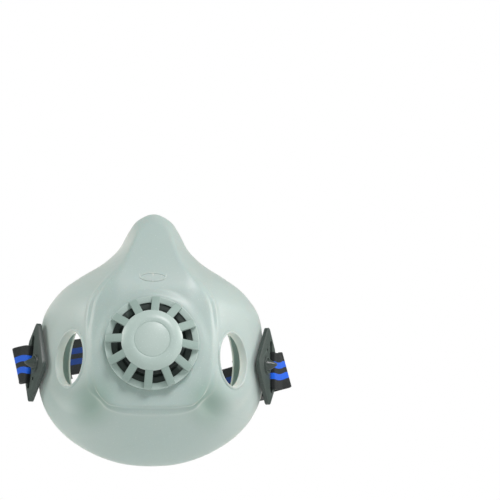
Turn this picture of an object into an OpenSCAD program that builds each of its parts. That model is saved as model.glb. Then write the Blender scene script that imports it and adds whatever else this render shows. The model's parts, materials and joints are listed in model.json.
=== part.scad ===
// Rubber half-mask respirator: facepiece, exhale valve, two empty filter ports and a neck strap.
// Frame: +Z up to the nose, -Y forward to the exhale valve, origin in the middle of the face opening.
// "Depth" is measured backwards from the plane that the exhale valve's cover sits on.

/* [Facepiece] */
// Thickness of the moulded rubber wall
wall = 2.6; // [2.4:0.1:2.8]
// Thickness of the seal lip at its free edge
lip_edge = 1.2; // [1.0:0.1:1.6]
// Depth from the valve's seat plane to the face opening
seal_depth = 58; // [56:0.5:60]
// Rise of the front panel's sides towards the cheeks, per square millimetre
panel_crown = 0.02; // [0.016:0.001:0.024]
// Slope of the nose ridge
nose_slope = 0.62; // [0.56:0.01:0.66]

/* [Filter ports] */
// Bore of each filter port
port_d = 27.2; // [26:0.2:28]
// Sideways position of a port's centre
port_x = 41.1; // [40.6:0.1:41.6]
// Depth of a port's centre
port_depth = 19.9; // [19.4:0.1:20.4]
// Height of a port's centre
port_z = -4.6; // [-6:0.2:-3]
// Angle between a port's axis and straight ahead
port_angle = 57.3; // [56:0.1:58]

/* [Exhale valve] */
// Outer diameter of the valve cover
cover_d = 46.4; // [46:0.2:47]
// Height of the valve cover above the panel
cover_h = 13; // [12.5:0.1:13.5]
// Number of spokes in the valve cover
spokes = 12; // [8:1:14]
// Width of one spoke
spoke_w = 3.9; // [3.2:0.1:4.2]
// Angle of the first spoke from straight up
spoke_start = -4.5; // [-15:0.5:15]
// Diameter of the rubber flap
flap_d = 31; // [30:0.5:32]

/* [Strap yokes] */
// Sideways position where a yoke stud leaves the cheek
stud_x = 57.8; // [57.6:0.1:58]
// Depth of a yoke stud
stud_depth = 49.2; // [48.8:0.1:49.6]
// Height of a yoke stud
stud_z = -2.5; // [-4:0.5:-1]
// Angle between a stud's axis and straight ahead
stud_angle = 66.6; // [66:0.1:67]
// Thickness of a yoke plate
yoke_t = 2; // [1.8:0.1:2.2]
// Tilt of the left yoke at rest, from upright
left_tilt = 13; // [0:1:15]
// Length of the slot for the webbing
slot_len = 28.4; // [24:0.2:30]

/* [Strap] */
// Width of the elastic webbing
web_w = 20; // [18:0.5:21]
// Thickness of the elastic webbing
web_t = 1.4; // [1.2:0.1:1.5]
// Height of the left strap where it turns behind the head
left_rise = 19; // [0:1:20]
// Height of the right strap where it turns behind the head
right_rise = -6; // [-10:1:0]
// How far the webbing leans over as it rounds each cheek, in degrees
strap_lean = 14; // [0:1:16]

/* [Hidden] */
$fn = 64;

body_colour = "#a9bab5";
dark_colour = "#454f4c";
web_colour = "#22262a";
seat_colour = "#4a5654";
flap_colour = "#333a3a";

// ---------- facepiece outline, top of the nose round the right cheek to the chin ----------
// Widest outline of the facepiece: [sideways, depth, height]
widest = [[0, 30, 74.8], [8.6, 31, 71.2], [13.2, 33, 65.4], [18.3, 36, 56.6], [24.2, 39, 51],
    [30.2, 41.5, 47.2], [38.9, 45, 42.7], [49, 49.5, 36], [57, 53, 25.3], [59.6, 55.5, 12.3],
    [60.2, 56, -2], [58.6, 55, -18], [53, 53.5, -30.5], [43.6, 51, -41], [30.5, 48.5, -49.4],
    [15.3, 46, -54.8], [0, 45, -56.3]];
// Edge of the front panel: [sideways, height]
panel_edge = [[0, 68], [4.8, 66.3], [7.8, 62.6], [10, 56.5], [12.3, 49.5],
    [15, 43], [18.9, 36.5], [24, 29.8], [28.6, 21.5], [30, 9],
    [30.1, -3], [28.8, -15], [26.2, -24], [21, -29.9], [14.5, -31.2],
    [7.2, -31.4], [0, -31.4]];
// Free edge of the seal lip: [sideways, depth, height]
lip = [[0, 38, 60], [3.5, 38.5, 59], [6.5, 39.5, 55.5], [9.5, 41.5, 49], [13, 44, 43.5],
    [17.5, 46.5, 39], [24, 49, 34], [32, 52, 27.5], [38.5, 54.5, 19], [42, 56.5, 9],
    [43.2, 57.5, -2], [41.5, 57, -14], [37, 56, -24], [30, 54.5, -32], [21, 53, -38.5],
    [10.5, 52, -42.5], [0, 51.5, -44]];
stations_per_point = 2;
valve_hole_r = 17.5;
boss_r = 24.4;
boss_back = 3.4;

function mirrored(p) = [-p[0], p[1], p[2]];
// A right half, given from top to bottom, made into a closed ring.
function closed(half) = concat(half, [for (i = [len(half) - 2:-1:1]) mirrored(half[i])]);
function spline(a, b, c, d, t) = 0.5 * (2 * b + (c - a) * t + (2 * a - 5 * b + 4 * c - d) * t * t
    + (3 * b - a - 3 * c + d) * t * t * t);
function along_ring(ring, u) = let (n = len(ring), i = floor(u), t = u - i)
    spline(ring[(i + n - 1) % n], ring[i % n], ring[(i + 1) % n], ring[(i + 2) % n], t);
function bezier(a, b, c, d, t) = pow(1 - t, 3) * a + 3 * t * pow(1 - t, 2) * b
    + 3 * t * t * (1 - t) * c + pow(t, 3) * d;
function smooth(t) = let (k = min(1, max(0, t))) k * k * (3 - 2 * k);
function unit(v) = v / norm(v);

// Depth of the front panel: crowned sideways, and leaning back up the nose.
crown_start = 16;
nose_start = 32;
nose_bend = 10;
function panel_depth(x, z) = panel_crown * pow(max(0, abs(x) - crown_start), 2)
    + nose_slope / 2 * (z - nose_start + sqrt(pow(z - nose_start, 2) + pow(nose_bend, 2)));

panel_ring = closed([for (p = panel_edge) [p[0], panel_depth(p[0], p[1]), p[1]]]);
widest_ring = closed(widest);
lip_ring = closed(lip);

// The wall around each filter port is drawn flat, fading out away from the port.
flat_r = 15.5;
flat_fade = 6;
function port_centre(side) = [side * port_x, port_depth, port_z];
function port_normal(side) = [side * sin(port_angle), -cos(port_angle), 0];
function flattened(p) = let (
    side = sign(p[0]) == 0 ? 1 : sign(p[0]),
    from = p - port_centre(side),
    height = from * port_normal(side),
    reach = norm(from - height * port_normal(side)))
    p - (1 - smooth((reach - flat_r) / flat_fade)) * height * port_normal(side);

// One station's outer profile: valve hole, panel, cheek wall, widest line, rolled rim, lip edge.
panel_steps = [0.4, 0.75];
cheek_steps = [0.08, 0.18, 0.3, 0.43, 0.56, 0.7, 0.85, 1];
rim_steps = [0.18, 0.36, 0.54, 0.76, 1];
function hole_point(edge) = valve_hole_r * unit([edge[0], 0, edge[2]]);
function between(edge, t) = let (p = hole_point(edge) * (1 - t) + [edge[0], 0, edge[2]] * t)
    [p[0], panel_depth(p[0], p[2]), p[2]];
function cheek(edge, wide, t) = let (run = wide - edge, across = [run[0], 0, run[2]], back = [0, run[1], 0])
    bezier(edge, edge + 0.13 * across + 0.08 * back, wide - 0.07 * across - 0.23 * back, wide, t);
function rim(wide, free, t) = let (out = unit([wide[0] - free[0], 0, wide[2] - free[2]]))
    bezier(wide, wide + [0, 9, 0], free + 6 * out + [0, 6, 0], free, t);
function profile(u) = let (
    edge = along_ring(panel_ring, u),
    wide = along_ring(widest_ring, u),
    free = along_ring(lip_ring, u),
    start = hole_point(edge))
    concat([[start[0], panel_depth(start[0], start[2]), start[2]]],
        [for (t = panel_steps) between(edge, t)],
        [edge],
        [for (t = cheek_steps) flattened(cheek(edge, wide, t))],
        [for (t = rim_steps) rim(wide, free, t)]);

station_count = len(widest_ring) * stations_per_point;
outer = [for (s = [0:station_count - 1]) profile(s / stations_per_point)];
ring_count = len(outer[0]);
lip_rings = len(rim_steps);
function outer_at(s, r) = outer[(s + station_count) % station_count][min(ring_count - 1, max(0, r))];
function inward(s, r) = let (down = outer_at(s, r + 1) - outer_at(s, r - 1))
    unit(cross(down, outer_at(s + 1, r) - outer_at(s - 1, r)));
function thickness(r) = r < ring_count - lip_rings ? wall
    : wall + (lip_edge - wall) * (r - ring_count + lip_rings + 1) / lip_rings;
inner = [for (s = [0:station_count - 1]) [for (r = [0:ring_count - 1])
    outer_at(s, r) + thickness(r) * inward(s, r)]];
// Each station is a closed loop: out along the outside, back along the inside.
loop_count = 2 * ring_count;
shell_points = [for (s = [0:station_count - 1])
    each concat(outer[s], [for (r = [ring_count - 1:-1:0]) inner[s][r]])];
function shell_index(s, k) = (s % station_count) * loop_count + k % loop_count;
shell_faces = [for (s = [0:station_count - 1]) for (k = [0:loop_count - 1]) each [
    [shell_index(s, k), shell_index(s + 1, k + 1), shell_index(s + 1, k)],
    [shell_index(s, k), shell_index(s, k + 1), shell_index(s + 1, k + 1)]]];

// ---------- placing ----------
// Puts the origin on the valve's seat plane.
module from_valve() { translate([0, -seal_depth, 0]) children(); }
// Local +Z straight out of the exhale valve, local +Y up.
module facing_front() { from_valve() rotate([90, 0, 0]) children(); }
// Local +Z out of a cheek, local +X towards the back, local +Y up. The left side is a mirror image.
module on_cheek(side, x, depth, z, angle) {
    mirror([side < 0 ? 1 : 0, 0, 0]) from_valve() translate([x, depth, z]) rotate([90, 0, angle]) children();
}
module on_port(side) { on_cheek(side, port_x, port_depth, port_z, port_angle) children(); }
module on_stud(side) { on_cheek(side, stud_x, stud_depth, stud_z, stud_angle) children(); }
module tube(r_out, r_in, low, high) {
    rotate_extrude() translate([r_in, low]) square([r_out - r_in, high - low]);
}
module disc(r, low, high) { translate([0, 0, low]) cylinder(r = r, h = high - low); }

// ---------- facepiece ----------
port_r = port_d / 2;
collar_r = port_r + 2;
collar_back = wall + 0.8;
collar_front = 0.7;
stud_r = 2;
stud_fit = 0.05;
pad_r = 6.8;
pad_front = 1.2;
pad_back = wall + 0.8;
module facepiece() {
    color(body_colour) difference() {
        union() {
            from_valve() polyhedron(shell_points, shell_faces);
            facing_front() disc(boss_r, -boss_back, 0);
            for (side = [-1, 1]) {
                on_port(side) disc(collar_r, -collar_back, collar_front);
                on_stud(side) disc(pad_r, -pad_back, pad_front);
            }
        }
        facing_front() disc(valve_hole_r, -10, 5);
        facing_front() disc(seat_lock_r + 1, -boss_back - 6, -boss_back);
        for (side = [-1, 1]) {
            on_port(side) disc(port_r, -10, 5);
            on_stud(side) disc(stud_r + stud_fit, -10, 5);
            on_stud(side) disc(stud_head_r + 0.6, -pad_back - 4, -pad_back);
        }
    }
}

// ---------- exhale valve ----------
seat_foot_r = 20.4;
seat_rim_r = 21.4;
seat_lock_r = 19.6;
seat_neck_r = valve_hole_r - 0.1;
seat_front = 2.2;
seat_undercut = 1.2;
seat_bore_r = 13;
seat_lip_r = 14.6;
lock_back = boss_back + 1.6;
hub_r = 3.2;
hub_back = 2;
arm_w = 1.8;
stem_r = 1.4;
stem_fit = 0.08;
flap_t = 0.7;
module valve_seat() {
    color(seat_colour) facing_front() difference() {
        union() {
            rotate_extrude() polygon([[seat_bore_r, -lock_back], [seat_lock_r, -lock_back],
                [seat_lock_r, -boss_back - 0.05], [seat_neck_r, -boss_back - 0.05], [seat_neck_r, 0.05],
                [seat_foot_r, 0.05], [seat_foot_r, seat_undercut], [seat_rim_r, seat_undercut],
                [seat_rim_r, seat_front], [seat_lip_r + 2.4, seat_front], [seat_lip_r + 1.6, 1.2],
                [seat_lip_r + 0.4, 1.2], [seat_lip_r, seat_front], [seat_lip_r - 0.4, 1.2], [seat_bore_r, 0.6]]);
            disc(hub_r, -hub_back, 1.6);
            for (a = [0:45:135]) rotate(a) translate([-seat_bore_r - 0.5, -arm_w / 2, -hub_back])
                cube([2 * seat_bore_r + 1, arm_w, hub_back + 0.3]);
        }
        disc(stem_r + stem_fit, -10, 5);
    }
}
// A thin disc with a stem; the stem's barb holds it behind the hub and lets it lift about a millimetre.
flap_low = seat_front + 0.05;
module exhale_flap() {
    color(flap_colour) facing_front() rotate_extrude() polygon([[0, -5.4], [1, -5.4], [stem_r + 0.7, -4.2],
        [stem_r, -3.4], [stem_r, flap_low], [flap_d / 2, flap_low], [flap_d / 2, flap_low + 0.3],
        [6, flap_low + flap_t], [3.4, flap_low + flap_t + 0.5], [0, flap_low + flap_t + 0.5]]);
}
cover_r = cover_d / 2;
ring_in_r = 20;
ring_h = 3;
hub_edge_r = 15;
dome_r = 13.2;
hub_low = cover_h - 3.6;
spoke_t = 2.2;
module spoke() {
    rotate([90, 0, 0]) translate([0, 0, -spoke_w / 2]) linear_extrude(spoke_w)
        polygon([[hub_edge_r - 2.2, hub_low - 0.4], [hub_edge_r - 2.2, hub_low + 1.6], [hub_edge_r, hub_low + 1.2],
            [cover_r - 1, ring_h + 2], [cover_r, ring_h + 1.2], [cover_r, ring_h - 0.6],
            [ring_in_r + 0.6, ring_h - 0.6], [ring_in_r, ring_h + 0.4]]);
}
module valve_cover() {
    color(body_colour) facing_front() {
        rotate_extrude() polygon([[seat_foot_r + 0.2, 0.15], [cover_r, 0.15], [cover_r, ring_h - 0.4],
            [cover_r - 0.4, ring_h], [ring_in_r, ring_h], [ring_in_r, seat_front + 0.15],
            [seat_rim_r + 0.1, seat_front + 0.15], [seat_rim_r + 0.1, seat_undercut - 0.1],
            [seat_foot_r + 0.2, seat_undercut - 0.1]]);
        rotate_extrude() polygon([[0, cover_h - 2], [9.5, cover_h - 2], [dome_r - 1.5, cover_h - 3.4],
            [hub_edge_r - 1.2, hub_low - 0.6], [hub_edge_r, hub_low - 0.2], [hub_edge_r, hub_low + 1],
            [dome_r + 0.3, hub_low + 1.8], [dome_r, cover_h - 0.9], [dome_r - 0.9, cover_h], [0, cover_h]]);
        for (i = [0:spokes - 1]) rotate(90 + spoke_start + i * 360 / spokes) spoke();
    }
}

// ---------- strap yokes and their studs ----------
yoke_low = 1.5;
yoke_mid = yoke_low + yoke_t / 2;
yoke_high = yoke_low + yoke_t;
slot_near = 5.2;
slot_far = 9.2;
bar_far = 14;
keep_r = 4.7;
keep_h = 0.8;
cone_r = 3.25;
cone_h = 5.4;
stud_head_r = 5.5;
tip_x = 3.4;
tip_r = 3.2;
tip_reach = 20.6;
lobe_r = 4.6;
lobe_up = 8.2;
tie_hole_r = 0.9;
tie_hole_out = 1.2;
tie_hole_up = 8.2;
function rest_tilt(side) = side < 0 ? left_tilt : 0;
module yoke_outline() {
    hull() {
        translate([-6.2, -0.6]) circle(r = 6.2);
        for (end = [-1, 1]) {
            translate([tip_x, end * (tip_reach - tip_r)]) circle(r = tip_r);
            translate([bar_far - lobe_r, end * lobe_up]) circle(r = lobe_r);
        }
    }
}
module slot_outline() {
    width = slot_far - slot_near;
    for (end = [-1, 1]) translate([slot_near + width / 2, end * (slot_len - width) / 2]) circle(d = width);
    translate([slot_near, -(slot_len - width) / 2]) square([width, slot_len - width]);
}
module yoke(side) {
    color(dark_colour) on_stud(side) rotate(rest_tilt(side)) difference() {
        union() {
            translate([0, 0, yoke_low]) linear_extrude(yoke_t) yoke_outline();
            tube(keep_r, cone_r + 0.25, yoke_high - 0.2, yoke_high + keep_h);
        }
        disc(stud_r + stud_fit, 0, 10);
        linear_extrude(10) slot_outline();
        // The plates are one part turned round, so this hole sits above one stud and below the other.
        translate([tie_hole_out, side * tie_hole_up, 0]) cylinder(r = tie_hole_r, h = 10);
    }
}
module yoke_stud(side) {
    color(dark_colour) on_stud(side) {
        disc(stud_head_r, -pad_back - 1.45, -pad_back - 0.05);
        disc(stud_r, -pad_back - 0.5, yoke_high + 0.3);
        translate([0, 0, yoke_high + 0.15]) cylinder(r1 = cone_r, r2 = 0.5, h = cone_h);
    }
}

// ---------- strap ----------
// The webbing leaves a yoke as two layers. Both run through the adjuster, and one goes on to the clasp.
end_reach = 19;
strap_start = 23;
web_gap = 0.15;
// The pull of the strap sets the webbing below the middle of the slot, and leads it off at a slant.
web_low = 1.6;
function strap_slant(side) = tan(side < 0 ? -8.4 : 11.5);
function web_up(side, r) = strap_slant(side) * max(0, r - bar_far) - web_low;
module strap_end(side) {
    leg_low = yoke_t / 2 + web_gap;
    leg_high = leg_low + web_t;
    fold_near = slot_far - web_gap - web_t;
    color(web_colour) on_stud(side) rotate(rest_tilt(side)) translate([0, 0, yoke_mid]) {
        translate([0, -web_w / 2 - web_low, 0]) rotate([-90, 0, 0]) linear_extrude(web_w)
            translate([fold_near, -leg_high]) square([web_t, 2 * leg_high]);
        for (low = [-leg_high, leg_low]) translate([0, 0, low]) linear_extrude(web_t) {
            points = [for (r = [fold_near, bar_far, end_reach]) [r, web_up(side, r)]];
            half = [0, web_w / 2];
            polygon(concat([for (p = points) p + half], [for (i = [2:-1:0]) points[i] - half]));
        }
    }
}
// Corners of one side's strap line, in the valve's frame: yoke, outer bend, back bend, clasp.
straight_start = 1.5;
bend_depth = 77;
back_x = 27;
back_depth = 138;
clasp_z = (left_rise + right_rise) / 2;
function back_rise(side) = side < 0 ? left_rise : right_rise;
function bend_x(side) = side < 0 ? 72.5 : 73.5;
function bend_rise(side) = side < 0 ? 0.5 : -0.5;
function off_stud(side, out, back, up) = [side * (stud_x + out * sin(stud_angle) + back * cos(stud_angle)),
    stud_depth - out * cos(stud_angle) + back * sin(stud_angle), stud_z + up];
function leave_point(side, r) = let (tilt = rest_tilt(side), up = web_up(side, r))
    off_stud(side, yoke_mid, r * cos(tilt) - up * sin(tilt), r * sin(tilt) + up * cos(tilt));
function strap_corners(side) = [leave_point(side, strap_start + straight_start),
    [side * bend_x(side), bend_depth, bend_rise(side)],
    [side * back_x, back_depth, back_rise(side)], [0, back_depth, clasp_z]];
bend_cut = 5.5;
back_cut = 9;
bend_steps = 6;
function arc_points(before, corner, after, cut) = let (
    a = corner + cut * unit(before - corner),
    b = corner + cut * unit(after - corner))
    [for (i = [0:bend_steps]) let (t = i / bend_steps) pow(1 - t, 2) * a + 2 * t * (1 - t) * corner + t * t * b];
// The full centre line from the yoke to the fold that holds the clasp.
strap_stop = 17.3;
function strap_line(side) = let (c = strap_corners(side))
    concat([leave_point(side, strap_start), c[0]], arc_points(c[0], c[1], c[2], bend_cut),
        [for (run = [56, 60, 64]) along_back(side, run)],
        arc_points(c[1], c[2], c[3], back_cut), [c[3] + strap_stop * unit(c[2] - c[3])]);
// The return layer runs through the adjuster and ends in a free tail.
adjuster_at = 30;
tail_past = 29;
function along_back(side, run) = let (c = strap_corners(side)) c[1] + run * unit(c[2] - c[1]);
function return_line(side) = let (c = strap_corners(side))
    concat([leave_point(side, strap_start), c[0]], arc_points(c[0], c[1], c[2], bend_cut),
        [along_back(side, adjuster_at + tail_past)]);

function tangent(line, i) = unit(line[min(i + 1, len(line) - 1)] - line[max(i - 1, 0)]);
// The webbing leans as it rounds each cheek, and stands upright again at the yoke and at the clasp.
lean_full = 10;
lean_until = 68;
lean_end = 88;
function lean_at(run) = let (upright = smooth((run - lean_until) / (lean_end - lean_until)))
    -strap_lean * smooth(run / lean_full) * (1 - upright);
function across(t, lean) = let (up = unit([0, 0, 1] - t[2] * t)) cos(lean) * up + sin(lean) * cross(t, up);
// Direction out of the webbing's face, away from the head.
function face_out(side, t, lean) = side * cross(t, across(t, lean));
function run_to(line, i) = i == 0 ? 0 : norm(line[i] - line[i - 1]) + run_to(line, i - 1);
layer_apart = 0.85;
start_apart = yoke_t / 2 + web_gap + web_t / 2;
function layer_offset(side, line, i, layer) = let (
    run = run_to(line, i),
    apart = start_apart + (layer_apart - start_apart) * smooth(run / 12))
    layer * apart * face_out(side, tangent(line, i), lean_at(run));
module webbing(side, line, layer) {
    ring = [for (i = [0:len(line) - 1]) let (
        t = tangent(line, i), lean = lean_at(run_to(line, i)),
        w = across(t, lean) * web_w / 2, n = face_out(side, t, lean) * web_t / 2,
        c = line[i] + layer_offset(side, line, i, layer)) [c - w - n, c + w - n, c + w + n, c - w + n]];
    points = [for (r = ring) each r];
    last = 4 * (len(line) - 1);
    ends = [[0, 1, 2], [0, 2, 3], [last, last + 2, last + 1], [last, last + 3, last + 2]];
    walls = [for (i = [0:len(line) - 2]) for (k = [0:3]) let (a = 4 * i + k, b = 4 * i + (k + 1) % 4)
        each [[a, a + 4, b + 4], [a, b + 4, b]]];
    faces = concat(ends, walls);
    color(web_colour) from_valve() polyhedron(points, side > 0 ? faces : [for (f = faces) [f[0], f[2], f[1]]]);
}
// At the clasp the webbing is folded round the plate's outer bar and sewn back on itself.
fold_sewn = 2.4;
module clasp_fold(side) {
    leg_low = plate_t / 2 + web_gap;
    leg_high = leg_low + web_t;
    fold_near = clasp_slot_at + clasp_slot / 2 - web_gap - web_t;
    color(web_colour) on_clasp() translate([0, 0, -web_w / 2]) linear_extrude(web_w)
        mirror([side < 0 ? 1 : 0, 0]) {
            translate([fold_near, -leg_high]) square([web_t, 2 * leg_high]);
            for (low = [-leg_high, leg_low]) translate([fold_near, low])
                square([loop_far + fold_sewn - fold_near, web_t]);
            translate([loop_far + web_gap, -leg_high]) square([fold_sewn - web_gap, 2 * leg_high]);
        }
}
module strap(side) {
    webbing(side, strap_line(side), 1);
    clasp_fold(side);
}
module strap_return(side) { webbing(side, return_line(side), -1); }

// A three-bar slide: two bars outside the webbing, one inside, joined by rails.
adjuster_w = 26;
adjuster_l = 14;
adjuster_gap = 0.35;
rail_w = (adjuster_w - web_w) / 2 - adjuster_gap;
bar_t = 1.6;
bar_w = 3;
layers_high = layer_apart + web_t / 2 + adjuster_gap;
module strap_adjuster(side) {
    color(dark_colour) on_adjuster(side) {
        for (end = [-1, 1]) {
            translate([-adjuster_l / 2, end * (adjuster_w - rail_w) / 2 - rail_w / 2, -layers_high - bar_t])
                cube([adjuster_l, rail_w, 2 * (layers_high + bar_t)]);
            translate([end * (adjuster_l - bar_w) / 2 - bar_w / 2, -adjuster_w / 2, layers_high])
                cube([bar_w, adjuster_w, bar_t]);
        }
        translate([-bar_w / 2, -adjuster_w / 2, -layers_high - bar_t]) cube([bar_w, adjuster_w, bar_t]);
    }
}
// Local +X along the webbing towards the clasp, local +Z away from the head.
module on_adjuster(side) {
    c = strap_corners(side);
    t = unit(c[2] - c[1]);
    point = along_back(side, adjuster_at) + [0, -seal_depth, 0];
    turn = atan2(t[1], t[0]);
    climb = asin(t[2]);
    translate(point) rotate([0, 0, turn]) rotate([0, -climb, 0]) rotate([side * -90 + 180 - strap_lean, 0, 0])
        children();
}

// ---------- clasp ----------
plate_t = 2;
plate_h = 25;
loop_near = 1;
loop_far = 17;
hook_near = 4;
clasp_slot = 3.6;
clasp_slot_at = 12.6;
module on_clasp() {
    drop = atan2(left_rise - right_rise, 2 * back_x);
    translate([0, back_depth - seal_depth + layer_apart, clasp_z]) rotate([0, drop, 0]) children();
}
module clasp_plate(from, to) {
    slot_h = web_w + 1;
    difference() {
        translate([from, -plate_t / 2, -plate_h / 2]) cube([to - from, plate_t, plate_h]);
        translate([clasp_slot_at - clasp_slot / 2, -plate_t, -slot_h / 2]) cube([clasp_slot, 2 * plate_t, slot_h]);
    }
}
window_near = 3.8;
window_far = 9;
window_h = 13;
module clasp_loop() {
    color(dark_colour) on_clasp() difference() {
        clasp_plate(loop_near, loop_far);
        translate([window_near, -plate_t, -window_h / 2]) cube([window_far - window_near, 2 * plate_t, window_h]);
    }
}
// The hook's tongue passes behind the loop plate and turns through its window.
tongue_h = 11;
tongue_t = 1.8;
tongue_root = -7;
tongue_tip = window_near + 2.4;
module clasp_hook() {
    tongue_low = plate_t / 2 + 0.15;
    color(dark_colour) on_clasp() {
        mirror([1, 0, 0]) clasp_plate(hook_near, loop_far);
        translate([tongue_root, -plate_t / 2, -tongue_h / 2])
            cube([-tongue_root - 0.6, tongue_low + tongue_t + plate_t / 2, tongue_h]);
        translate([tongue_root, tongue_low, -tongue_h / 2]) cube([tongue_tip - tongue_root, tongue_t, tongue_h]);
        translate([tongue_tip - tongue_t, -plate_t / 2, -tongue_h / 2])
            cube([tongue_t, tongue_low + tongue_t + plate_t / 2, tongue_h]);
    }
}

facepiece();
valve_seat();
exhale_flap();
valve_cover();
yoke(-1);  // yoke_left
yoke(1);  // yoke_right
yoke_stud(-1);  // yoke_stud_left
yoke_stud(1);  // yoke_stud_right
strap_end(-1);  // strap_end_left
strap_end(1);  // strap_end_right
strap(-1);  // strap_left
strap(1);  // strap_right
strap_return(-1);  // strap_return_left
strap_return(1);  // strap_return_right
strap_adjuster(-1);  // strap_adjuster_left
strap_adjuster(1);  // strap_adjuster_right
clasp_loop();
clasp_hook();
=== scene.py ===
# Rubber half-mask respirator with a spoked exhale valve, two empty filter ports and a neck strap.
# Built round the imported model: +Z up to the nose, -Y forward to the valve, all in metres.
import json
import math

import bmesh
import bpy
import numpy as np
from mathutils import Matrix, Vector


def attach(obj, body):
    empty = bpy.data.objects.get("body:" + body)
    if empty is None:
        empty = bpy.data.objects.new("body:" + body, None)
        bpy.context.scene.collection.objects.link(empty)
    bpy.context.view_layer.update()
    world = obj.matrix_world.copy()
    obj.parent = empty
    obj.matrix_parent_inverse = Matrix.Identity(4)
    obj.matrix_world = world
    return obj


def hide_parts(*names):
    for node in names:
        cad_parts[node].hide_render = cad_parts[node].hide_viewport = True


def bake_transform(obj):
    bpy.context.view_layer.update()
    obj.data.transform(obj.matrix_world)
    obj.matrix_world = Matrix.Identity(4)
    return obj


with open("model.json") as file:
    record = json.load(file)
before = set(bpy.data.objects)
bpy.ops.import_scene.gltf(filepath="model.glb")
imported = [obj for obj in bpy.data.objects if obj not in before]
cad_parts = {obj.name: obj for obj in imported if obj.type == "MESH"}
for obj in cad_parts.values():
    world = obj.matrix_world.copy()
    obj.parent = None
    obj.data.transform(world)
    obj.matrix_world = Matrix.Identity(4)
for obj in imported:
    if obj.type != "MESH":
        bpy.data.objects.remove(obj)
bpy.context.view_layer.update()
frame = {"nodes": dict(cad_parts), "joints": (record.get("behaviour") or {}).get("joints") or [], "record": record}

# ---------------------------------------------------------------- camera, light and floor
# The camera stands in front of the valve and a little below it. A large soft lamp lights the mask
# from the upper right, the white surroundings fill the shadows, and a pale floor lies well below.
joint = {j["name"]: j for j in frame["joints"]}
valve = Vector(joint["cover_turn"]["pos_m"])
scene = bpy.context.scene
scene.view_settings.view_transform = "Standard"

camera_rise = math.radians(-10)
camera_roll = math.radians(0.7)
valve_seen_at = Vector((-0.0484, -0.0462, -0.686))
camera_data = bpy.data.cameras.new("camera")
camera_data.lens = 100
camera = bpy.data.objects.new("camera", camera_data)
to_camera = Vector((0, -math.cos(camera_rise), math.sin(camera_rise)))
facing = (-to_camera).to_track_quat("-Z", "Y").to_matrix()
aimed = facing @ valve_seen_at.rotation_difference(Vector((0, 0, -1))).to_matrix()
turned = Matrix.Rotation(camera_roll, 3, to_camera) @ aimed
camera.matrix_world = Matrix.Translation(valve + to_camera * valve_seen_at.length) @ turned.to_4x4()
scene.collection.objects.link(camera)
scene.camera = camera


def soft_lamp(name, place, size, watts, colour):
    data = bpy.data.lights.new(name, "AREA")
    data.shape = "DISK"
    data.size = size
    data.energy = watts
    data.color = colour
    lamp = bpy.data.objects.new(name, data)
    lamp.matrix_world = (Matrix.Translation(place)
                         @ (-Vector(place)).to_track_quat("-Z", "Y").to_matrix().to_4x4())
    scene.collection.objects.link(lamp)


soft_lamp("key", (0.4, -0.95, 0.95), 0.5, 15, (1.0, 0.94, 0.96))
soft_lamp("right edge", (1.1, 0.15, 0.45), 0.5, 6, (1.0, 0.95, 0.93))
soft_lamp("left edge", (-1.1, 0.1, 0.4), 0.5, 5.5, (1.0, 0.95, 0.93))
soft_lamp("back", (0.0, 1.3, 0.1), 1.0, 8, (1.0, 0.98, 0.95))

# A faint lamp inside the mask stands for the daylight that comes through the open back and the ports.
inside_data = bpy.data.lights.new("inside", "POINT")
inside_data.energy = 0.045
inside_data.color = (1.0, 0.97, 0.88)
inside_data.shadow_soft_size = 0.015
inside = bpy.data.objects.new("inside", inside_data)
inside.location = valve + Vector((0, 0.036, -0.004))
inside.visible_camera = False
scene.collection.objects.link(inside)

world = bpy.data.worlds.new("surroundings")
scene.world = world
world.use_nodes = True
sky = world.node_tree
sky.nodes.clear()
seen = sky.nodes.new("ShaderNodeLightPath")
white = sky.nodes.new("ShaderNodeBackground")
white.inputs["Color"].default_value = (1, 1, 1, 1)
glow = sky.nodes.new("ShaderNodeBackground")
glow.inputs["Color"].default_value = (0.8, 1.0, 0.9, 1)
glow.inputs["Strength"].default_value = 0.28
choose = sky.nodes.new("ShaderNodeMixShader")
surface = sky.nodes.new("ShaderNodeOutputWorld")
sky.links.new(seen.outputs["Is Camera Ray"], choose.inputs["Fac"])
sky.links.new(glow.outputs[0], choose.inputs[1])
sky.links.new(white.outputs[0], choose.inputs[2])
sky.links.new(choose.outputs[0], surface.inputs["Surface"])

floor_z = -0.2
floor_half = 6.0
floor_mesh = bpy.data.meshes.new("floor")
corners = [(x * floor_half, y * floor_half, floor_z) for x, y in ((-1, -1), (1, -1), (1, 1), (-1, 1))]
floor_mesh.from_pydata(corners, [], [(0, 1, 2, 3)])
floor = bpy.data.objects.new("floor", floor_mesh)
scene.collection.objects.link(floor)
floor_paint = bpy.data.materials.new("floor")
floor_paint.use_nodes = True
# The camera sees a paler floor than the one that lights the mask from below.
floor_tree = floor_paint.node_tree
matt = floor_tree.nodes["Principled BSDF"]
matt.inputs["Base Color"].default_value = (0.86, 0.87, 0.87, 1)
matt.inputs["Roughness"].default_value = 0.8
pale = floor_tree.nodes.new("ShaderNodeBsdfPrincipled")
pale.inputs["Base Color"].default_value = (0.3, 0.31, 0.31, 1)
pale.inputs["Roughness"].default_value = 0.9
pale.inputs["Emission Color"].default_value = (1, 1, 1, 1)
pale.inputs["Emission Strength"].default_value = 0.68
looked_at = floor_tree.nodes.new("ShaderNodeLightPath")
either = floor_tree.nodes.new("ShaderNodeMixShader")
floor_tree.links.new(looked_at.outputs["Is Camera Ray"], either.inputs["Fac"])
floor_tree.links.new(matt.outputs[0], either.inputs[1])
floor_tree.links.new(pale.outputs[0], either.inputs[2])
floor_tree.links.new(either.outputs[0], floor_tree.nodes["Material Output"].inputs["Surface"])
floor_mesh.materials.append(floor_paint)

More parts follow.
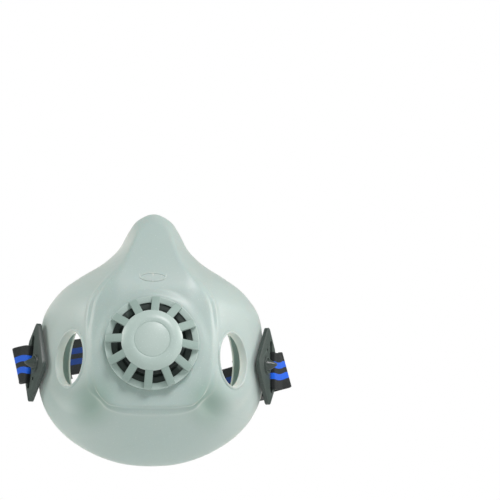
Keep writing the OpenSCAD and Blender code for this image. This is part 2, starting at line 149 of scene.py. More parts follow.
# ---------------------------------------------------------------- facepiece
# One moulding of soft grey-green rubber: a shield-shaped front panel, sloping cheeks, a nose peak
# and a rolled rim that turns in to a thin seal lip. The ports and the stud pads are moulded in.
mm = 0.001
mount = {m["name"]: m for m in frame["record"]["mounts"]}
WALL = 2.6
LIP_EDGE = 1.2
WIDEST = [[0, 30, 74.8], [8.6, 31, 71.2], [13.2, 33, 65.4], [18.3, 36, 56.6], [24.2, 39, 51],
          [30.2, 41.5, 47.2], [38.9, 45, 42.7], [49, 49.5, 36], [57, 53, 25.3], [59.6, 55.5, 12.3],
          [60.2, 56, -2], [58.6, 55, -18], [53, 53.5, -30.5], [43.6, 51, -41], [30.5, 48.5, -49.4],
          [15.3, 46, -54.8], [0, 45, -56.3]]
PANEL_EDGE = [[0, 68], [4.8, 66.3], [7.8, 62.6], [10, 56.5], [12.3, 49.5],
              [15, 43], [18.9, 36.5], [24, 29.8], [28.6, 21.5], [30, 9],
              [30.1, -3], [28.8, -15], [26.2, -24], [21, -29.9], [14.5, -31.2],
              [7.2, -31.4], [0, -31.4]]
LIP = [[0, 38, 60], [3.5, 38.5, 59], [6.5, 39.5, 55.5], [9.5, 41.5, 49], [13, 44, 43.5],
       [17.5, 46.5, 39], [24, 49, 34], [32, 52, 27.5], [38.5, 54.5, 19], [42, 56.5, 9],
       [43.2, 57.5, -2], [41.5, 57, -14], [37, 56, -24], [30, 54.5, -32], [21, 53, -38.5],
       [10.5, 52, -42.5], [0, 51.5, -44]]
HOLE_R = 17.5
STATIONS = 320
ROWS = 92
crown_start, panel_crown = 16, 0.02
nose_start, nose_bend, nose_lean = 32, 10, 0.31
cheek_out, cheek_back, wide_in, wide_front = 0.13, 0.08, 0.07, 0.23
rim_back, lip_out, lip_back = 9, 6, 6
edge_round = 1.5
crease_at, crease_wide, crease_deep = 1.7, 1.2, 0.5
ridge_at, ridge_wide, ridge_high = 4.6, 1.5, 0.38
dip_x, dip_z, dip_deep = 29, -30, 2.6
seat_depth = valve.y / mm


def panel_depth(x, z):
    """Depth of the front panel: crowned sideways, and leaning back up the nose."""
    crown = panel_crown * max(0.0, abs(x) - crown_start) ** 2
    lean = nose_lean * (z - nose_start + math.hypot(z - nose_start, nose_bend))
    return crown + lean


def closed(half):
    """A right half, given from top to bottom, made into a closed ring."""
    right = np.array(half, float)
    return np.vstack([right, right[-2:0:-1] * (-1, 1, 1)])


def along(ring, u):
    """A point on the smooth curve through a ring's points."""
    i = int(u)
    t = u - i
    a, b, c, d = (ring[(i + k) % len(ring)] for k in (-1, 0, 1, 2))
    return 0.5 * (2 * b + (c - a) * t + (2 * a - 5 * b + 4 * c - d) * t * t
                  + (3 * b - a - 3 * c + d) * t ** 3)


def bezier(a, b, c, d, t):
    t = t[:, None]
    return (1 - t) ** 3 * a + 3 * t * (1 - t) ** 2 * b + 3 * t * t * (1 - t) * c + t ** 3 * d


def evenly(points, count):
    """The same line with its points spaced evenly along it."""
    run = np.concatenate([[0], np.cumsum(np.linalg.norm(np.diff(points, axis=0), axis=1))])
    at = np.linspace(0, run[-1], count)
    return np.stack([np.interp(at, run, points[:, k]) for k in range(points.shape[1])], axis=1), run[-1]


def eased(points, spacing, radius):
    """A line with its corners rounded: each point becomes the mean of its neighbours."""
    reach = max(1, int(3 * radius / spacing))
    weight = np.exp(-0.5 * (np.arange(-reach, reach + 1) * spacing / radius) ** 2)
    weight /= weight.sum()
    before = 2 * points[0] - points[reach:0:-1]
    after = 2 * points[-1] - points[-2:-reach - 2:-1]
    padded = np.vstack([before, points, after])
    return np.stack([np.convolve(padded[:, k], weight, "valid") for k in range(points.shape[1])], axis=1)


panel_ring = closed([[x, panel_depth(x, z), z] for x, z in PANEL_EDGE])
widest_ring = closed(WIDEST)
lip_ring = closed(LIP)


def fade(t):
    k = np.clip(t, 0, 1)
    return k * k * (3 - 2 * k)


def profile(u):
    """One station's outer line (valve hole, panel, cheek wall, widest line, rolled rim, lip edge), and
    each row's distance past the panel's edge. Rows stand closer at that edge and round the rim."""
    edge, wide, free = (along(r, u) for r in (panel_ring, widest_ring, lip_ring))
    hole = HOLE_R * edge[[0, 2]] / np.linalg.norm(edge[[0, 2]])
    flat = [hole * (1 - t) + edge[[0, 2]] * t for t in np.linspace(0, 1, 40)]
    panel = np.array([[x, panel_depth(x, z), z] for x, z in flat])
    panel_run = np.linalg.norm(np.diff(panel, axis=0), axis=1).sum()
    run = wide - edge
    across = run * (1, 0, 1)
    back = run * (0, 1, 0)
    cheek = bezier(edge, edge + cheek_out * across + cheek_back * back,
                   wide - wide_in * across - wide_front * back, wide, np.linspace(0, 1, 80)[1:])
    out = (wide - free) * (1, 0, 1)
    out = out / np.linalg.norm(out)
    roll = bezier(wide, wide + np.array((0, rim_back, 0)),
                  free + lip_out * out + np.array((0, lip_back, 0)), free, np.linspace(0, 1, 50)[1:])
    fine = 400
    line, length = evenly(np.vstack([panel, cheek, roll]), fine)
    line = eased(line, length / (fine - 1), edge_round)
    past = np.linspace(0, length, fine) - panel_run
    at_edge = np.exp(-((past - 2.5) / 5.5) ** 4)
    at_rim = fade((past + panel_run - length + 34) / 8)
    crowd = 0.5 + 1.4 * at_edge + 0.6 * at_rim
    share = np.concatenate([[0], np.cumsum((crowd[1:] + crowd[:-1]) / 2)])
    rows = np.interp(np.linspace(0, share[-1], ROWS), share, np.arange(fine))
    picked = [np.interp(rows, np.arange(fine), line[:, k]) for k in range(3)]
    return np.stack(picked, axis=1), np.interp(rows, np.arange(fine), past)


def flatten(points, centre, normal, flat_r, fade_r):
    """Draws the wall flat round a centre, fading out away from it."""
    away = points - centre
    height = away @ normal
    reach = np.linalg.norm(away - height[..., None] * normal, axis=-1)
    share = (1 - fade((reach - flat_r) / fade_r)) * (np.abs(height) < 14)
    return points - (share * height)[..., None] * normal


def in_mm(v):
    return np.array(v) / mm - (0, seat_depth, 0)


port_names = ("filter_port_left", "filter_port_right")
stud_names = ("left_yoke_turn", "right_yoke_turn")
ports = [(in_mm(mount[n]["pos_m"]), np.array(mount[n]["axis"])) for n in port_names]
studs = [(in_mm(joint[n]["pos_m"]), np.array(joint[n]["axis"])) for n in stud_names]

made = [profile(s * len(widest_ring) / STATIONS) for s in range(STATIONS)]
outer = np.array([line for line, past in made])
past_edge = np.array([past for line, past in made])


def into_wall(points):
    """Unit directions into the wall, square to the surface."""
    ringwise = np.roll(points, -1, axis=0) - np.roll(points, 1, axis=0)
    normal = np.cross(np.gradient(points, axis=1), ringwise)
    return normal / np.linalg.norm(normal, axis=-1, keepdims=True)


# A shallow crease runs round the panel, a soft ridge outside it, and a dip at each low corner.
crease = crease_deep * np.exp(-((past_edge - crease_at) / crease_wide) ** 2)
ridge = ridge_high * np.exp(-((past_edge - ridge_at) / ridge_wide) ** 2)
below_nose = fade((44 - outer[..., 2]) / 26)
dip_wide, dip_high = 8, 6
dip = dip_deep * np.exp(-((np.abs(outer[..., 0]) - dip_x) / dip_wide) ** 2
                        - ((outer[..., 2] - dip_z) / dip_high) ** 2)
dip *= fade(past_edge / 3)
outer = outer + (below_nose * (crease - ridge) + dip)[..., None] * into_wall(outer)
outer = flatten(outer, np.zeros(3), np.array((0, -1.0, 0)), 24.6, 3)
for centre, normal in ports:
    outer = flatten(outer, centre, normal, 15.4, 13)
for centre, normal in studs:
    outer = flatten(outer, centre, normal, 7.6, 5)
inward = into_wall(outer)
down_profile = np.gradient(outer, axis=1)
from_valve = np.linalg.norm(outer[..., [0, 2]], axis=-1)
lip_share = fade((np.arange(ROWS) - ROWS * 0.72) / (ROWS * 0.28))
thick = WALL + (LIP_EDGE - WALL) * lip_share + 0.8 * (1 - fade((from_valve - 24.4) / 3))
inner = outer + thick[..., None] * inward
lip_round = (outer[:, -1] + inner[:, -1]) / 2 + 0.45 * down_profile[:, -1] / np.linalg.norm(
    down_profile[:, -1], axis=-1, keepdims=True)
loop = np.concatenate([outer, lip_round[:, None], inner[:, ::-1]], axis=1)


def ring_mesh(name, rings):
    """A closed tube of quads through rings of points, given in millimetres from the valve's seat."""
    count, size = rings.shape[:2]
    points = (rings + (0, seat_depth, 0)) * mm
    at = np.arange(count * size).reshape(count, size)
    right, down = np.roll(at, -1, axis=0), np.roll(at, -1, axis=1)
    both = np.roll(right, -1, axis=1)
    faces = np.stack([at, right, both, down], axis=-1).reshape(-1, 4)
    mesh = bpy.data.meshes.new(name)
    mesh.from_pydata(points.reshape(-1, 3).tolist(), [], faces.tolist())
    return new_object(name, mesh)


def new_object(name, mesh):
    made = bpy.data.objects.new(name, mesh)
    scene.collection.objects.link(made)
    return made


def face_outwards(mesh):
    shape = bmesh.new()
    shape.from_mesh(mesh)
    bmesh.ops.remove_doubles(shape, verts=shape.verts, dist=1e-7)
    bmesh.ops.recalc_face_normals(shape, faces=shape.faces)
    shape.to_mesh(mesh)
    shape.free()


def shade(mesh, sharp_degrees=35):
    mesh.polygons.foreach_set("use_smooth", [True] * len(mesh.polygons))
    mesh.set_sharp_from_angle(angle=math.radians(sharp_degrees))


def rounded(points, radius, steps=4, ends=True):
    """A closed outline (or an open one, with ends=False) with every corner rounded."""
    made = []
    pts = [Vector(p) for p in points]
    for i, corner in enumerate(pts):
        if not ends and i in (0, len(pts) - 1):
            made.append(tuple(corner))
            continue
        before, after = pts[i - 1] - corner, pts[(i + 1) % len(pts)] - corner
        cut = min(radius, before.length * 0.48, after.length * 0.48)
        a, b = corner + before.normalized() * cut, corner + after.normalized() * cut
        for k in range(steps + 1):
            t = k / steps
            made.append(tuple((1 - t) ** 2 * a + 2 * t * (1 - t) * corner + t * t * b))
    return made


def axis_frame(point, normal, up=(0, 0, 1)):
    """Local Z along the normal, local Y as near up as it can be, millimetres to metres."""
    z = Vector(normal).normalized()
    x = Vector(up).cross(z).normalized()
    turn = Matrix((x, z.cross(x), z)).transposed().to_4x4()
    return Matrix.Translation(point) @ turn @ Matrix.Scale(mm, 4)


def lathe(name, outline, place, steps=128):
    """A closed outline of (radius, height) turned about the local Z axis."""
    count = len(outline)
    turns = [2 * math.pi * k / steps for k in range(steps)]
    points = [(max(r, 0.0) * math.cos(a), max(r, 0.0) * math.sin(a), h) for a in turns for r, h in outline]
    faces = []
    for k in range(steps):
        for i in range(count):
            if outline[i][0] > 0 or outline[(i + 1) % count][0] > 0:
                here, there, after = k * count, (k + 1) % steps * count, (i + 1) % count
                faces.append((here + i, there + i, there + after, here + after))
    mesh = bpy.data.meshes.new(name)
    mesh.from_pydata(points, [], faces)
    mesh.transform(place)
    face_outwards(mesh)
    shade(mesh)
    return new_object(name, mesh)


def combine(target, tool, how):
    """Adds the tool to the target, or cuts it out, and removes the tool."""
    step = target.modifiers.new(how, "BOOLEAN")
    step.operation = how
    step.solver = "MANIFOLD"
    step.object = tool
    finish_modifiers(target)
    bpy.data.objects.remove(tool)


def finish_modifiers(piece):
    """Turns a piece's modifiers into its plain mesh."""
    held = bpy.context.evaluated_depsgraph_get()
    made = bpy.data.meshes.new_from_object(piece.evaluated_get(held))
    piece.modifiers.clear()
    piece.data = made


facepiece = ring_mesh("facepiece_rubber", loop)
face_outwards(facepiece.data)
port_r = mount["filter_port_right"]["dims"]["r_mm"]
# Outlines are (radius, height), in millimetres: the port's bead, then the stud's pad.
bead = [(port_r, -3.4), (port_r, 0.35), (port_r + 0.12, 0.6), (port_r + 0.38, 0.74), (port_r + 0.72, 0.72),
        (port_r + 1.05, 0.52), (port_r + 1.3, 0.2), (port_r + 1.5, -0.08), (port_r + 2.2, -0.3),
        (port_r + 2.2, -1.2), (port_r + 2, -1.2), (port_r + 2, -3.2), (port_r + 1.8, -3.4)]
for name in port_names:
    place = axis_frame(mount[name]["pos_m"], mount[name]["axis"])
    r = port_r + 1
    combine(facepiece, lathe("port_cut", [(0, -8), (r, -8), (r, 5), (0, 5)], place), "DIFFERENCE")
    combine(facepiece, lathe("port_bead", bead, place), "UNION")
stud_hole = 2.05
pad = [(0, -3.4), (6.6, -3.4), (6.8, -3.2), (6.8, -1.2), (8.4, -1.2), (8.4, -0.06), (7.8, 0.03),
       (7.2, 0.25), (6.9, 0.65), (6.6, 1.0), (6.2, 1.18), (0, 1.2)]
for name in stud_names:
    place = axis_frame(joint[name]["pos_m"], joint[name]["axis"])
    combine(facepiece, lathe("stud_pad", pad, place, 64), "UNION")
    r = stud_hole
    combine(facepiece, lathe("stud_cut", [(0, -8), (r, -8), (r, 5), (0, 5)], place, 48), "DIFFERENCE")

# A plain oval ring, moulded into the panel below the nose.
oval = []
oval_z, oval_wide, oval_high, oval_bead = 34.6, 6.4, 2.2, 0.34
oval_steps = 128
for i in range(oval_steps):
    a = 2 * math.pi * i / oval_steps
    x, z = oval_wide * math.cos(a), oval_z + oval_high * math.sin(a)
    out = Vector((math.cos(a) / oval_wide, 0, math.sin(a) / oval_high)).normalized()
    centre = Vector((x, panel_depth(x, z) + 0.08, z))
    oval.append([centre + oval_bead * (math.cos(b) * out + math.sin(b) * Vector((0, 1, 0)))
                 for b in (2 * math.pi * k / 12 for k in range(12))])
oval_ring = ring_mesh("oval_ring", np.array(oval))
face_outwards(oval_ring.data)
combine(facepiece, oval_ring, "UNION")
shade(facepiece.data, 40)


def node_group(name, inputs, outputs):
    """An empty shader group with its named inputs (with their values) and outputs."""
    group = bpy.data.node_groups.new(name, "ShaderNodeTree")
    for label, kind, value in inputs:
        socket = group.interface.new_socket(label, in_out="INPUT", socket_type=kind)
        socket.default_value = value
    for label, kind in outputs:
        group.interface.new_socket(label, in_out="OUTPUT", socket_type=kind)
    return group, group.nodes.new("NodeGroupInput"), group.nodes.new("NodeGroupOutput")


def add(tree, kind, links=None, **values):
    """A node with its settings, its socket values and what feeds it."""
    made = tree.nodes.new(kind)
    for key, value in values.items():
        if hasattr(made, key):
            setattr(made, key, value)
        else:
            made.inputs[key.replace("_", " ")].default_value = value
    for key, source in (links or {}).items():
        tree.links.new(source, made.inputs[key])
    return made


def blend_colours(tree, share, first, second):
    """A colour that goes from the first to the second. Each is a colour or an output."""
    mix = tree.nodes.new("ShaderNodeMix")
    mix.data_type = "RGBA"
    for key, source in ((0, share), (6, first), (7, second)):
        if isinstance(source, bpy.types.NodeSocket):
            tree.links.new(source, mix.inputs[key])
        else:
            mix.inputs[key].default_value = source
    return mix.outputs[2]


def moulded_group():
    """What every moulding shows: fine skin texture, broad tone drift, specks of dust, scuffs."""
    group, given, out = node_group(
        "moulded_skin",
        [("Grain size", "NodeSocketFloat", 1400), ("Drift size", "NodeSocketFloat", 22),
         ("Dust", "NodeSocketFloat", 0.5)],
        [("Drift", "NodeSocketFloat"), ("Height", "NodeSocketFloat"), ("Specks", "NodeSocketFloat"),
         ("Scuff", "NodeSocketFloat")])
    where = add(group, "ShaderNodeTexCoord").outputs["Object"]
    drift = add(group, "ShaderNodeTexNoise", {"Vector": where, "Scale": given.outputs["Drift size"]},
                Detail=3.0)
    grain = add(group, "ShaderNodeTexNoise", {"Vector": where, "Scale": given.outputs["Grain size"]},
                Detail=2.0)
    pits = add(group, "ShaderNodeTexVoronoi", {"Vector": where}, Scale=900.0)
    shallow = add(group, "ShaderNodeMath", {0: pits.outputs["Distance"]}, operation="MULTIPLY")
    shallow.inputs[1].default_value = 0.35
    height = add(group, "ShaderNodeMath", {0: grain.outputs["Fac"], 1: shallow.outputs[0]},
                 operation="ADD")
    dust = add(group, "ShaderNodeTexNoise", {"Vector": where}, Scale=2600.0, Detail=1.0)
    specks = add(group, "ShaderNodeMapRange", {"Value": dust.outputs["Fac"]},
                 From_Min=0.66, From_Max=0.78)
    some = add(group, "ShaderNodeMath", {0: specks.outputs[0], 1: given.outputs["Dust"]},
               operation="MULTIPLY")
    long = add(group, "ShaderNodeMapping", {"Vector": where})
    long.inputs["Scale"].default_value = (60, 60, 420)
    rubbed = add(group, "ShaderNodeTexNoise", {"Vector": long.outputs[0]}, Scale=1.0, Detail=5.0)
    scuff = add(group, "ShaderNodeMapRange", {"Value": rubbed.outputs["Fac"]},
                From_Min=0.55, From_Max=0.75)
    for label, source in (("Drift", drift.outputs["Fac"]), ("Height", height.outputs[0]),
                          ("Specks", some.outputs[0]), ("Scuff", scuff.outputs[0])):
        group.links.new(source, out.inputs[label])
    return group


moulded = moulded_group()


def moulding(name, dark, light, edge_wear_and_highlight, rough, grain=(1400, 0.00003), dust=0.4, edge=(0.52, 0.6), **fixed):
    """A moulded material: tone drifts from dark to light, and convex edges are paler, partly as edge wear and
    partly as a painted highlight.
    """
    made = bpy.data.materials.new(name)
    made.use_nodes = True
    tree = made.node_tree
    base = tree.nodes["Principled BSDF"]
    for key, value in fixed.items():
        base.inputs[key.replace("_", " ")].default_value = value
    skin = tree.nodes.new("ShaderNodeGroup")
    skin.node_tree = moulded
    skin.inputs["Grain size"].default_value = grain[0]
    skin.inputs["Drift size"].default_value = 22.0
    skin.inputs["Dust"].default_value = dust
    tone = blend_colours(tree, skin.outputs["Drift"], (*dark, 1), (*light, 1))
    shape = add(tree, "ShaderNodeNewGeometry")
    # Convex edges blend toward a pale colour: part edge wear, part painted highlight.
    rim = add(tree, "ShaderNodeMapRange", {"Value": shape.outputs["Pointiness"]},
              From_Min=edge[0], From_Max=edge[1], To_Max=0.8)
    edged = blend_colours(tree, rim.outputs[0], tone, (*edge_wear_and_highlight, 1))
    speck = [min(1, c * 1.25 + 0.03) for c in edge_wear_and_highlight]
    dusty = blend_colours(tree, skin.outputs["Specks"], edged, (*speck, 1))
    tree.links.new(dusty, base.inputs["Base Color"])
    gloss = add(tree, "ShaderNodeMapRange", {"Value": skin.outputs["Scuff"]},
                To_Min=rough, To_Max=min(1, rough + 0.16))
    tree.links.new(gloss.outputs[0], base.inputs["Roughness"])
    bump = add(tree, "ShaderNodeBump", {"Height": skin.outputs["Height"]}, Strength=0.35, Distance=grain[1])
    tree.links.new(bump.outputs[0], base.inputs["Normal"])
    return made


def paint(piece, material):
    piece.data.materials.clear()
    piece.data.materials.append(material)


rubber = moulding("facepiece_rubber", (0.36, 0.45, 0.43), (0.41, 0.495, 0.475), (0.62, 0.64, 0.61), 0.42,
                  grain=(1100, 0.00004), Sheen_Weight=0.9, Sheen_Roughness=0.35,
                  Sheen_Tint=(1, 0.96, 0.92, 1), Subsurface_Weight=0.08, Subsurface_Scale=0.003)


def painted_corner_shade(material, centre, size, colour):
    """Painted shade: the rubber is painted a darker green round the panel's two low corners, where the hollow
    falls into shade, fading out softly.
    """
    tree = material.node_tree
    base = tree.nodes["Principled BSDF"]
    where = add(tree, "ShaderNodeTexCoord").outputs["Object"]
    parts = add(tree, "ShaderNodeSeparateXYZ", {"Vector": where})
    either = add(tree, "ShaderNodeMath", {0: parts.outputs["X"]}, operation="ABSOLUTE")
    spot = add(tree, "ShaderNodeCombineXYZ", {"X": either.outputs[0], "Y": parts.outputs["Z"]})
    away = add(tree, "ShaderNodeVectorMath", {0: spot.outputs[0]}, operation="DISTANCE")
    away.inputs[1].default_value = centre
    share = add(tree, "ShaderNodeMapRange", {"Value": away.outputs["Value"]},
                interpolation_type="SMOOTHSTEP", From_Min=size, From_Max=0.0, To_Max=0.8)
    unshaded = base.inputs["Base Color"].links[0].from_socket
    tree.links.new(blend_colours(tree, share.outputs[0], unshaded, (*colour, 1)), base.inputs["Base Color"])


# Painted shade in the hollows at the panel's two low corners.
painted_corner_shade(rubber, (0.0285, -0.0275, 0), 0.016, (0.21, 0.32, 0.27))
paint(facepiece, rubber)
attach(facepiece, "root")
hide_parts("facepiece")

# ---------------------------------------------------------------- valve seat
# A dark moulded ring that snaps through the hole in the panel. Its sealing lip carries the flap,
# and eight arms hold the hub that the flap's stem is pushed through.
valve_place = axis_frame(valve, (0, -1, 0))
seat_outline = rounded([(13, -5), (19.6, -5), (19.6, -3.45), (17.4, -3.45), (17.4, 0.05), (20.4, 0.05),
                        (20.4, 1.2), (21.4, 1.2), (21.4, 2.2), (17, 2.2), (16.2, 1.2), (15, 1.2),
                        (14.6, 2.2), (14.2, 1.2), (13, 0.6)], 0.25, 3)
seat = lathe("valve_seat_ring", seat_outline, valve_place)
hub_side = rounded([(1.48, -2), (3.2, -2), (3.2, 1.6), (1.48, 1.6)], 0.3, 3)
hub = lathe("valve_seat_hub", hub_side, valve_place, 64)


def bar(name, length, width, height, place, bevel=0.3):
    """A straight bar from the local origin along +X, with rounded edges."""
    shape = bmesh.new()
    bmesh.ops.create_cube(shape, size=1)
    bmesh.ops.transform(shape, verts=shape.verts, matrix=Matrix.LocRotScale(
        Vector((length / 2, 0, 0)), None, Vector((length, width, height))))
    bmesh.ops.bevel(shape, geom=shape.edges, offset=bevel, segments=3, profile=0.5, affect="EDGES")
    mesh = bpy.data.meshes.new(name)
    shape.to_mesh(mesh)
    shape.free()
    mesh.transform(place)
    shade(mesh)
    return new_object(name, mesh)


def geometry_tree(name, inputs):
    tree = bpy.data.node_groups.new(name, "GeometryNodeTree")
    tree.interface.new_socket("Geometry", in_out="INPUT", socket_type="NodeSocketGeometry")
    for label, kind in inputs:
        tree.interface.new_socket(label, in_out="INPUT", socket_type=kind)
    tree.interface.new_socket("Geometry", in_out="OUTPUT", socket_type="NodeSocketGeometry")
    return tree, tree.nodes.new("NodeGroupInput"), tree.nodes.new("NodeGroupOutput")


def ring_tree():
    """Copies of a part set at even turns about the local Z axis, beside the geometry already there."""
    tree, given, out = geometry_tree("turned_copies", [
        ("Part", "NodeSocketObject"), ("Count", "NodeSocketInt"), ("First angle", "NodeSocketFloat"),
        ("Material", "NodeSocketMaterial")])
    part = add(tree, "GeometryNodeObjectInfo", {"Object": given.outputs["Part"]})
    points = add(tree, "GeometryNodePoints", {"Count": given.outputs["Count"]})
    index = add(tree, "GeometryNodeInputIndex")
    step = add(tree, "ShaderNodeMath", {1: given.outputs["Count"]}, operation="DIVIDE")
    step.inputs[0].default_value = 2 * math.pi
    turn = add(tree, "ShaderNodeMath", {
        0: index.outputs[0], 1: step.outputs[0], 2: given.outputs["First angle"]}, operation="MULTIPLY_ADD")
    spin = add(tree, "ShaderNodeCombineXYZ", {"Z": turn.outputs[0]})
    copies = add(tree, "GeometryNodeInstanceOnPoints", {
        "Points": points.outputs[0], "Instance": part.outputs["Geometry"], "Rotation": spin.outputs[0]})
    joined = add(tree, "GeometryNodeJoinGeometry", {"Geometry": given.outputs["Geometry"]})
    tree.links.new(copies.outputs[0], joined.inputs["Geometry"])
    real = add(tree, "GeometryNodeRealizeInstances", {"Geometry": joined.outputs[0]})
    coat = add(tree, "GeometryNodeSetMaterial", {
        "Geometry": real.outputs[0], "Material": given.outputs["Material"]})
    tree.links.new(coat.outputs[0], out.inputs["Geometry"])
    return tree


turned_copies = ring_tree()


def run_tree(piece, tree, values):
    """Runs a geometry tree on a piece with its named inputs, and keeps the result as a plain mesh."""
    step = piece.modifiers.new(tree.name, "NODES")
    step.node_group = tree
    socket = {s.name: s.identifier for s in tree.interface.items_tree if s.in_out == "INPUT"}
    for label, value in values.items():
        step[socket[label]] = value
    finish_modifiers(piece)


def turned(name, part, count, first, material):
    """Turned copies of a part about the valve's axis, as one plain mesh."""
    piece = new_object(name, bpy.data.meshes.new(name))
    run_tree(piece, turned_copies, {
        "Part": part, "Count": count, "First angle": first, "Material": material})
    bpy.data.objects.remove(part)
    piece.data.transform(valve_place)
    return piece


seat_paint = moulding("seat_plastic", (0.03, 0.042, 0.038), (0.045, 0.06, 0.055), (0.12, 0.15, 0.14), 0.4,
                      grain=(1600, 0.00002))
ARMS, ARM_W, ARM_H, ARM_L = 8, 1.8, 2.3, 11
arm = bar("arm", ARM_L, ARM_W, ARM_H, Matrix.Translation((2.6, 0, -0.85)))
arms = turned("valve_seat_arms", arm, ARMS, 0.0, seat_paint)
for piece in (seat, hub, arms):
    paint(piece, seat_paint)
    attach(piece, "root")
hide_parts("valve_seat")

# ---------------------------------------------------------------- exhale flap
# A thin soft disc, dished a little towards its edge, with a stem whose barb holds it behind the hub.
# Air that is breathed out lifts it off the seat.
flap_outline = [(0, -5.4), (0.9, -5.4), (1.4, -5.0), (2.1, -4.2), (1.75, -3.7), (1.4, -3.4), (1.4, 2.1),
                (1.6, 2.25), (6, 2.25), (14.0, 2.25), (15.5, 2.25), (15.5, 2.5), (15.2, 2.55), (13.6, 2.6),
                (13.2, 2.75), (12.8, 2.62), (9, 2.75), (6, 2.95), (4.2, 3.1), (3.4, 3.45), (2.6, 3.6),
                (0, 3.62)]
flap = lathe("exhale_flap_disc", flap_outline, valve_place)
flap_paint = moulding("flap_rubber", (0.022, 0.03, 0.029), (0.032, 0.042, 0.04), (0.08, 0.1, 0.095), 0.32,
                      grain=(900, 0.00002))
paint(flap, flap_paint)
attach(flap, "flap")
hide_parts("exhale_flap")

# ---------------------------------------------------------------- valve cover
# A satin plastic cage that snaps over the seat: a flat ring, twelve straight spokes that climb from
# the ring's outer edge, and a domed hub with one shallow moulded ring on top. The spokes are the same
# plastic painted a darker green: painted shade for their slope away from the light.
COVER_R, RING_IN_R, RING_H, COVER_H = 23.2, 20.0, 3.0, 13.0
HUB_R, DOME_FLAT_R, DOME_DROP, HUB_LOW = 15.0, 10, 3.1, 9.4
DOME_STEPS = 12
SPOKES, SPOKE_W, SPOKE_START = 12, 3.9, math.radians(85.5)
ring_outline = rounded([(20.6, 0.15), (COVER_R, 0.15), (COVER_R, RING_H), (RING_IN_R, RING_H),
                        (RING_IN_R, 2.35), (21.5, 2.35), (21.5, 1.1), (20.6, 1.1)], 0.35, 4)
dome = [(DOME_FLAT_R + (HUB_R - DOME_FLAT_R) * k / DOME_STEPS, COVER_H - DOME_DROP * (k / DOME_STEPS) ** 2)
        for k in range(DOME_STEPS, -1, -1)]
hub_outline = [(0, COVER_H - 2), (9.5, COVER_H - 2), (11.7, COVER_H - 3.2), (13.6, HUB_LOW - 0.3),
               (14.6, HUB_LOW - 0.3), (14.95, HUB_LOW), *dome, (9.0, COVER_H), (8.9, COVER_H - 0.06),
               (8.65, COVER_H - 0.26), (8.4, COVER_H - 0.06), (8.3, COVER_H), (0, COVER_H)]
cover = lathe("valve_cover_cage", ring_outline, valve_place, 192)
cover_hub = lathe("cover_hub", hub_outline, valve_place, 192)


def spoke_part():
    """One spoke along local +X: a slanted bar whose foot stands on the ring's outer edge."""
    side = [(HUB_R - 2.6, HUB_LOW - 0.4), (HUB_R - 2.6, HUB_LOW + 1.7), (HUB_R - 0.4, HUB_LOW + 0.9),
            (COVER_R - 1.1, RING_H + 2.1), (COVER_R, RING_H + 1.3), (COVER_R, RING_H - 1.2),
            (RING_IN_R + 0.7, RING_H - 1.2), (RING_IN_R + 0.1, RING_H + 0.4)]
    line = rounded(side, 0.5, 3)
    half = SPOKE_W / 2
    count = len(line)
    mesh = bpy.data.meshes.new("spoke")
    mesh.from_pydata([(x, -half, z) for x, z in line] + [(x, half, z) for x, z in line], [],
                     [tuple(range(count)), tuple(range(2 * count - 1, count - 1, -1))]
                     + [(k, count + k, count + (k + 1) % count, (k + 1) % count) for k in range(count)])
    face_outwards(mesh)
    spoke = new_object("spoke", mesh)
    edge = spoke.modifiers.new("edge", "BEVEL")
    edge.width = 0.28
    edge.segments = 3
    edge.angle_limit = math.radians(50)
    finish_modifiers(spoke)
    return spoke


cover_paint = moulding("cover_plastic", (0.40, 0.495, 0.465), (0.44, 0.53, 0.5), (0.62, 0.68, 0.66),
                       0.38, grain=(1500, 0.00003), Sheen_Weight=0.1)
# Painted shade: the cage's own plastic in a darker green, standing for the spokes' slope away from the light.
spoke_shaded_paint = moulding("spoke_plastic_painted_shade", (0.24, 0.33, 0.3), (0.28, 0.37, 0.34), (0.5, 0.57, 0.54),
                       0.4, grain=(1500, 0.00003), Sheen_Weight=0.1)
spokes = turned("valve_cover_spokes", spoke_part(), SPOKES, SPOKE_START, spoke_shaded_paint)
face_outwards(spokes.data)
combine(cover, cover_hub, "UNION")
shade(cover.data, 32)
shade(spokes.data, 32)
for piece, coat in ((cover, cover_paint), (spokes, spoke_shaded_paint)):
    paint(piece, coat)
    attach(piece, "cover")
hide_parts("valve_cover")

# ---------------------------------------------------------------- strap yokes
# Two dark moulded plates, one part turned round. Each turns on its stud and has a long slot for the
# webbing; the stiff outer bar carries the pull, and a raised ring stands round the stud.


def softened(name, node, width, sharp=28, segments=3):
    """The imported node's own shape with its edges rounded, as a moulded part's are."""
    shape = bmesh.new()
    shape.from_mesh(frame["nodes"][node].data)
    bmesh.ops.remove_doubles(shape, verts=shape.verts, dist=2e-6)
    bmesh.ops.dissolve_limit(shape, angle_limit=math.radians(1.0), verts=shape.verts, edges=shape.edges)
    mesh = bpy.data.meshes.new(name)
    shape.to_mesh(mesh)
    shape.free()
    piece = new_object(name, mesh)
    edge = piece.modifiers.new("edge", "BEVEL")
    edge.width = width
    edge.segments = segments
    edge.limit_method = "ANGLE"
    edge.angle_limit = math.radians(sharp)
    finish_modifiers(piece)
    shade(piece.data, 40)
    return piece


yoke_paint = moulding("yoke_plastic", (0.03, 0.043, 0.039), (0.045, 0.06, 0.054), (0.16, 0.2, 0.185), 0.4,
                      grain=(1300, 0.00004), dust=0.6, edge=(0.53, 0.62))
for side in ("left", "right"):
    yoke = softened(f"yoke_plate_{side}", f"yoke_{side}", 0.45 * mm)
    paint(yoke, yoke_paint)
    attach(yoke, f"{side}_yoke")
    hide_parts(f"yoke_{side}")

